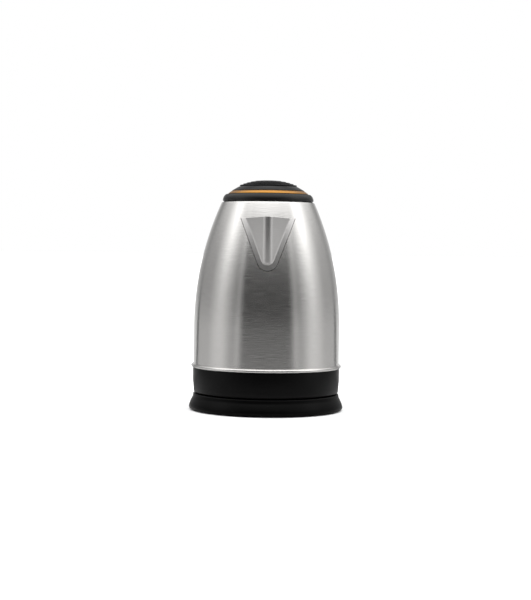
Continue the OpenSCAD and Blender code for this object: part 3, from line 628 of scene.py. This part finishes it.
def finish_cad(node, edge=0.0):
    """Joins the CAD facets into smooth faces with sharp or softly broken edges between them."""
    obj = NODES[node]
    dress(obj, CAD_LOOKS[node])
    custom = obj.data.attributes.get("custom_normal")
    if custom:
        obj.data.attributes.remove(custom)
    obj.data.polygons.foreach_set("use_smooth", [True] * len(obj.data.polygons))
    weld = obj.modifiers.new("weld", "WELD")
    weld.merge_threshold = 0.002 * MM
    if edge:
        flat = obj.modifiers.new("flat", "DECIMATE")
        flat.decimate_type = "DISSOLVE"
        flat.angle_limit = math.radians(0.3)
        soft = obj.modifiers.new("soft", "BEVEL")
        soft.width = edge * MM
        soft.segments = 2
        soft.limit_method = "ANGLE"
        soft.angle_limit = math.radians(35)
    split = obj.modifiers.new("split", "EDGE_SPLIT")
    split.split_angle = math.radians(34)


build_jug()
build_beak()
build_seam()
build_lid()
build_press_spring()
replaced = {"steel_jug", "spout", "lid_cap", "lid_band", "button_spring"}
SOFT_EDGES = {
    "collar": 0.35, "lower_housing": 0.3, "base_cover": 0.25, "lid_base": 0.3, "lid_button": 0.5,
    "switch_lever": 0.6, "cord_gland": 0.4, "foot_ring": 0.4, "underside_cover": 0.3, "base_bottom": 0.3,
    "base_socket": 0.3, "connector_body": 0.3, "pilot_lens": 0.3, "lid_latch": 0.3,
}
for node in NODES:
    if node not in replaced:
        finish_cad(node, SOFT_EDGES.get(node, 0.0))


# ------------------------------------------------------------------ studio

def fill_ramp(ramp, levels, top):
    """Fills a colour ramp with (angle from 0 to 180, level) pairs, each level as a share of top."""
    stops = ramp.color_ramp.elements
    while len(stops) < len(levels):
        stops.new(0.5)
    for stop, (angle, level) in zip(stops, levels):
        stop.position = angle / 180
        stop.color = (level / top, level / top, level / top, 1)


def stage_mesh(name, corners, mat):
    bm = bmesh.new()
    verts = [bm.verts.new(c) for c in corners]
    for k in range(0, len(verts) - 2, 2):
        bm.faces.new([verts[k], verts[k + 1], verts[k + 3], verts[k + 2]])
    obj = from_bmesh(name, bm, 80)
    dress(obj, mat)
    return obj


# Painted shade and light that the floor round the kettle shows only in the gloss: angle from straight in
# front, and painted reflectance
FLOOR_SHADE = [
    (0, 0.21), (39, 0.23), (41.5, 0.32), (45, 0.48), (48.5, 0.31), (52, 0.29), (60, 0.36), (67, 0.46),
    (86, 0.47), (98, 0.38), (118, 0.35), (131, 0.33), (134.5, 0.03), (138, 0.03), (142, 0.42),
    (180, 0.48),
]
FLOOR_COLOR = (0.92, 0.92, 0.92)
FLOOR_HALF = 20.0
# Painted light in the gloss: within these distances of the kettle the floor mirrors as a lighter grey
NEAR_FLOOR = (0.11, 0.17)
NEAR_SHADE = 0.6


def build_floor():
    """A plain pale floor, which mirrors as a greyer one painted with shade and light: darker and lighter
    by angle round the kettle, and lighter near it.
    """
    look = Look("pale_floor", FLOOR_COLOR, 0.6)
    tree = look.tree
    seen = look.node("ShaderNodeBsdfDiffuse")
    seen.inputs["Color"].default_value = (*FLOOR_COLOR, 1)
    painted_gloss_shade = look.node("ShaderNodeBsdfDiffuse")
    parts = look.node("ShaderNodeSeparateXYZ")
    tree.links.new(look.coords, parts.inputs[0])
    turn = look.math("ARCTAN2", parts.outputs["X"], look.math("MULTIPLY", parts.outputs["Y"], -1))
    azimuth = look.math("MULTIPLY", look.math("ABSOLUTE", turn), 1 / math.pi)
    shade = look.node("ShaderNodeValToRGB")
    tree.links.new(azimuth, shade.inputs[0])
    fill_ramp(shade, FLOOR_SHADE, 1.0)
    away = look.node("ShaderNodeVectorMath", operation="LENGTH")
    tree.links.new(look.coords, away.inputs[0])
    near = look.node("ShaderNodeMapRange", interpolation_type="SMOOTHSTEP")
    tree.links.new(away.outputs["Value"], near.inputs["Value"])
    near.inputs["From Min"].default_value = NEAR_FLOOR[0]
    near.inputs["From Max"].default_value = NEAR_FLOOR[1]
    blend = look.node("ShaderNodeMix", data_type="RGBA")
    blend.inputs[6].default_value = (NEAR_SHADE, NEAR_SHADE, NEAR_SHADE, 1)
    tree.links.new(near.outputs["Result"], blend.inputs[0])
    tree.links.new(shade.outputs[0], blend.inputs[7])
    tree.links.new(blend.outputs[2], painted_gloss_shade.inputs["Color"])
    # Camera and diffuse rays see the pale floor, glossy rays see the painted shade
    mix = look.node("ShaderNodeMixShader")
    tree.links.new(look.node("ShaderNodeLightPath").outputs["Is Glossy Ray"], mix.inputs[0])
    tree.links.new(seen.outputs[0], mix.inputs[1])
    tree.links.new(painted_gloss_shade.outputs[0], mix.inputs[2])
    tree.links.new(mix.outputs[0], tree.nodes["Material Output"].inputs["Surface"])
    corners = [(x, y, 0) for y in (-FLOOR_HALF, FLOOR_HALF) for x in (-FLOOR_HALF, FLOOR_HALF)]
    stage_mesh("floor", corners, look.mat)


def build_card():
    """A low dark card in front, which only shows in the gloss."""
    look = Look("dark_card", (0.0, 0.0, 0.0), 1.0)
    look.bsdf.inputs["Emission Color"].default_value = (1, 1, 1, 1)
    distance, half_width, height, glow = 0.80, 37, 0.11, 0.025
    look.bsdf.inputs["Emission Strength"].default_value = glow
    corners = []
    for k in range(-12, 13):
        a = math.radians(half_width * k / 12)
        x, y = distance * math.sin(a), -distance * math.cos(a)
        corners += [(x, y, 0.0), (x, y, height)]
    card = stage_mesh("card", corners, look.mat)
    card.visible_camera = False
    card.visible_diffuse = False
    card.visible_shadow = False


# Brightness of the walls round the kettle: angle from straight in front, in degrees, and level
WALL = [
    (0, 0.022), (18, 0.026), (39, 0.05), (42, 0.26), (45, 0.44), (49, 0.29), (53, 0.28), (60, 0.48),
    (67, 0.70), (74, 0.98), (80, 1.12), (88, 0.92), (97, 0.72), (106, 0.54), (118, 0.55), (130, 0.57),
    (134, 0.52), (140, 0.52), (150, 0.60), (162, 0.85), (180, 1.1),
]
WALL_TOP = 2.0
RIGHT_BRIGHTER = 0.09
REAR_DARKER = 0.6
DIFFUSE_EXTRA = 0.42


def build_world():
    """Soft studio surroundings: a dark front, bright sides and a bright ceiling."""
    world = bpy.data.worlds.new("studio")
    bpy.context.scene.world = world
    world.use_nodes = True
    tree = world.node_tree
    tree.nodes.clear()

    def node(kind, **settings):
        made = tree.nodes.new(kind)
        for key, value in settings.items():
            setattr(made, key, value)
        return made

    def calc(operation, *values):
        made = node("ShaderNodeMath", operation=operation)
        for socket, value in zip(made.inputs, values):
            if hasattr(value, "links"):
                tree.links.new(value, socket)
            else:
                socket.default_value = value
        return made.outputs[0]

    def step(value, low, high, start=0.0, end=1.0):
        made = node("ShaderNodeMapRange", interpolation_type="SMOOTHSTEP")
        tree.links.new(value, made.inputs["Value"])
        for key, number in zip(("From Min", "From Max", "To Min", "To Max"), (low, high, start, end)):
            made.inputs[key].default_value = number
        return made.outputs["Result"]

    parts = node("ShaderNodeSeparateXYZ")
    tree.links.new(node("ShaderNodeTexCoord").outputs["Generated"], parts.inputs[0])
    front = calc("MULTIPLY", parts.outputs["Y"], -1)
    turn = calc("ARCTAN2", parts.outputs["X"], front)
    azimuth = calc("MULTIPLY", calc("ABSOLUTE", turn), 1 / math.pi)
    height = calc("MULTIPLY", calc("ARCSINE", parts.outputs["Z"]), 180 / math.pi)

    ramp = node("ShaderNodeValToRGB")
    tree.links.new(azimuth, ramp.inputs[0])
    fill_ramp(ramp, WALL, WALL_TOP)
    side = calc("MULTIPLY", calc("SINE", turn), RIGHT_BRIGHTER)
    wall = calc("MULTIPLY", calc("MULTIPLY", ramp.outputs[0], WALL_TOP), calc("ADD", side, 1.0))
    gain = calc("ADD", step(height, 1, 14, 0.80, 1.04), step(height, 15, 34, 0.0, 1.65))
    ceiling = calc("ADD", step(height, 33, 46, 0.0, 2.3), step(height, 50, 75, 0.0, 0.4))
    lit = calc("MAXIMUM", calc("MULTIPLY", wall, gain), ceiling)
    between = calc("MULTIPLY", step(height, 8, 20), step(height, 48, 60, 1, 0))
    behind = calc("MULTIPLY", step(azimuth, 0.76, 0.86), between)
    light = calc("MULTIPLY", lit, calc("SUBTRACT", 1.0, calc("MULTIPLY", behind, REAR_DARKER)))
    diffuse = node("ShaderNodeLightPath").outputs["Is Diffuse Ray"]
    light = calc("MULTIPLY", light, calc("ADD", 1.0, calc("MULTIPLY", diffuse, DIFFUSE_EXTRA)))

    shine = node("ShaderNodeBackground")
    tree.links.new(light, shine.inputs["Strength"])
    white = node("ShaderNodeBackground")
    white.inputs["Color"].default_value = (1, 1, 1, 1)
    mix = node("ShaderNodeMixShader")
    tree.links.new(node("ShaderNodeLightPath").outputs["Is Camera Ray"], mix.inputs[0])
    tree.links.new(shine.outputs[0], mix.inputs[1])
    tree.links.new(white.outputs[0], mix.inputs[2])
    tree.links.new(mix.outputs[0], node("ShaderNodeOutputWorld").inputs["Surface"])


def build_camera():
    distance, height, down, roll = 1.49, 0.170, 2.21, 0.72
    data = bpy.data.cameras.new("camera")
    data.lens = 87
    data.sensor_width = 36
    data.clip_end = 50
    camera = bpy.data.objects.new("camera", data)
    bpy.context.scene.collection.objects.link(camera)
    camera.matrix_world = (
        Matrix.Translation((-0.0015, -distance, height))
        @ Matrix.Rotation(math.radians(90 - down), 4, "X")
        @ Matrix.Rotation(math.radians(roll), 4, "Z")
    )
    bpy.context.scene.camera = camera


build_floor()
build_card()
build_world()
build_camera()
bpy.context.scene.view_settings.view_transform = "Standard"
